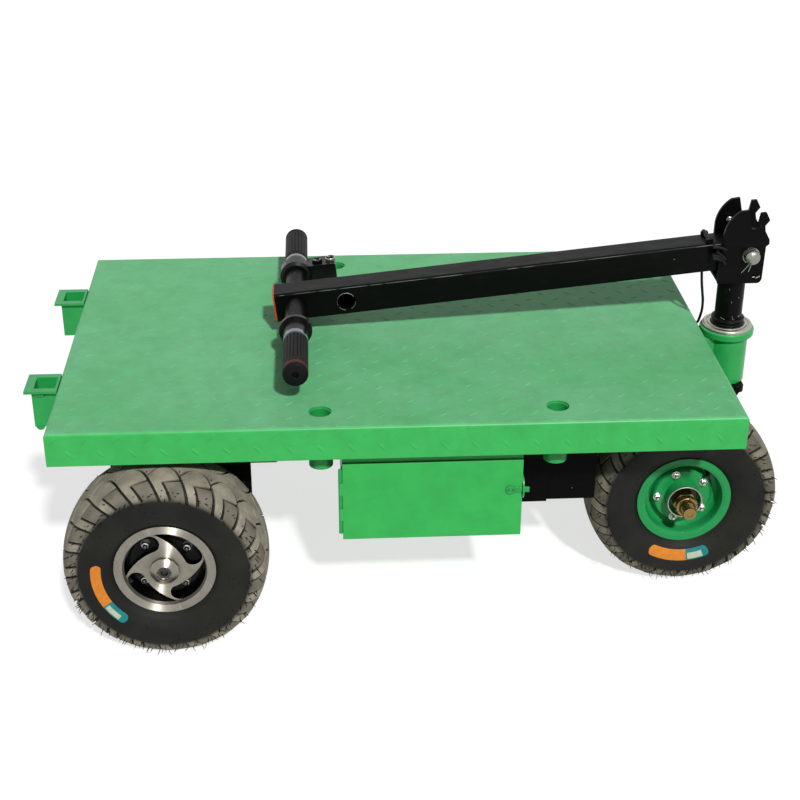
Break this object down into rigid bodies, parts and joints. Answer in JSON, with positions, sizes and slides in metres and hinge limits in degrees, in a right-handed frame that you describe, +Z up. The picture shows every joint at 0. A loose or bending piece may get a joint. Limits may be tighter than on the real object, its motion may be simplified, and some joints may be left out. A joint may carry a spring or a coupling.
{
  "type": "electric platform trolley",
  "caption": "Flat deck trolley on pneumatic tyres with a powered rear axle, a battery box under the deck and a folding tiller that steers the front wheels.",
  "frame": {"origin": "on the floor under the middle of the whole trolley", "axes": "+X towards the steered end along the deck, +Z up, +Y across the deck to the left"},
  "size_m": [1.384, 0.8492, 0.687],
  "materials": {
    "green_paint": "satin",
    "black_paint": "satin",
    "bright_steel": "satin",
    "dark_iron": "matte",
    "cast_aluminium": "satin",
    "tyre_rubber": "matte",
    "grip_rubber": "satin",
    "black_plastic": "matte",
    "red_plastic": "matte",
    "cable_jacket": "matte",
    "battery_case": "matte",
    "case_grey": "satin"
  },
  "bodies": {
    "chassis": {"deck_plate": "green_paint", "stake_tubes": "green_paint", "frame_rails": "green_paint", "cross_members": "green_paint", "rear_socket_right": "green_paint", "rear_socket_left": "green_paint", "battery_box": "green_paint", "door_hinge": "green_paint", "hasp_staple": "green_paint", "battery_block": "battery_case", "controller_case": "case_grey", "rear_axle_housing": "black_paint", "gear_case": "dark_iron", "drive_motor": "dark_iron", "axle_hangers": "black_paint", "head_tube": "green_paint", "head_bearing": "bright_steel", "skirt_grommet": "black_plastic", "cable_lower": "cable_jacket"},
    "door": {"battery_door": "green_paint", "hasp_plate": "green_paint"},
    "steering": {"steering_column": "black_paint", "steering_yoke": "black_paint", "front_axle": "bright_steel", "bracket_plate_right": "black_paint", "bracket_plate_left": "black_paint", "bracket_base": "black_paint", "pivot_pin": "bright_steel", "cable_upper": "cable_jacket"},
    "tiller": {"tiller_arm": "black_paint", "arm_end_cap": "red_plastic", "lock_pin": "black_paint", "lock_hook": "black_paint", "arm_grommet": "black_plastic", "bar_sockets": "black_paint", "handle_bar": "black_paint", "grip_right": "grip_rubber", "grip_left": "grip_rubber", "grip_collar": "black_plastic", "throttle_housing": "black_plastic", "switch_block": "black_plastic", "switch_buttons": "black_plastic"},
    "wheel_rear_right": {"tyre_rear_right": "tyre_rubber", "rim_rear_right": "cast_aluminium", "hub_rear_right": "dark_iron"},
    "wheel_rear_left": {"tyre_rear_left": "tyre_rubber", "rim_rear_left": "cast_aluminium", "hub_rear_left": "dark_iron"},
    "wheel_front_right": {"tyre_front_right": "tyre_rubber", "rim_front_right": "green_paint", "hub_front_right": "dark_iron"},
    "wheel_front_left": {"tyre_front_left": "tyre_rubber", "rim_front_left": "green_paint", "hub_front_left": "dark_iron"}
  },
  "joints": [
    {"name": "door_hinge", "type": "hinge", "parent": "chassis", "child": "door", "pos_m": [-0.1375, -0.3545, 0.278], "axis": [0, 0, -1], "range_deg": [0, 105]},
    {"name": "steer", "type": "hinge", "parent": "chassis", "child": "steering", "pos_m": [0.622, 0, 0.329], "axis": [0, 0, 1], "range_deg": [-35, 35], "deforming": ["cable_lower"]},
    {"name": "tiller_fold", "type": "hinge", "parent": "steering", "child": "tiller", "pos_m": [0.642, 0, 0.598], "axis": [0, 1, 0], "range_deg": [0, 150], "deforming": ["cable_upper"]},
    {"name": "wheel_rear_right_spin", "type": "hinge", "parent": "chassis", "child": "wheel_rear_right", "pos_m": [-0.447, -0.351, 0.181], "axis": [0, 1, 0], "continuous": true},
    {"name": "wheel_rear_left_spin", "type": "hinge", "parent": "chassis", "child": "wheel_rear_left", "pos_m": [-0.447, 0.351, 0.181], "axis": [0, 1, 0], "continuous": true},
    {"name": "wheel_front_right_spin", "type": "hinge", "parent": "steering", "child": "wheel_front_right", "pos_m": [0.511, -0.168, 0.181], "axis": [0, 1, 0], "continuous": true},
    {"name": "wheel_front_left_spin", "type": "hinge", "parent": "steering", "child": "wheel_front_left", "pos_m": [0.511, 0.168, 0.181], "axis": [0, 1, 0], "continuous": true}
  ]
}
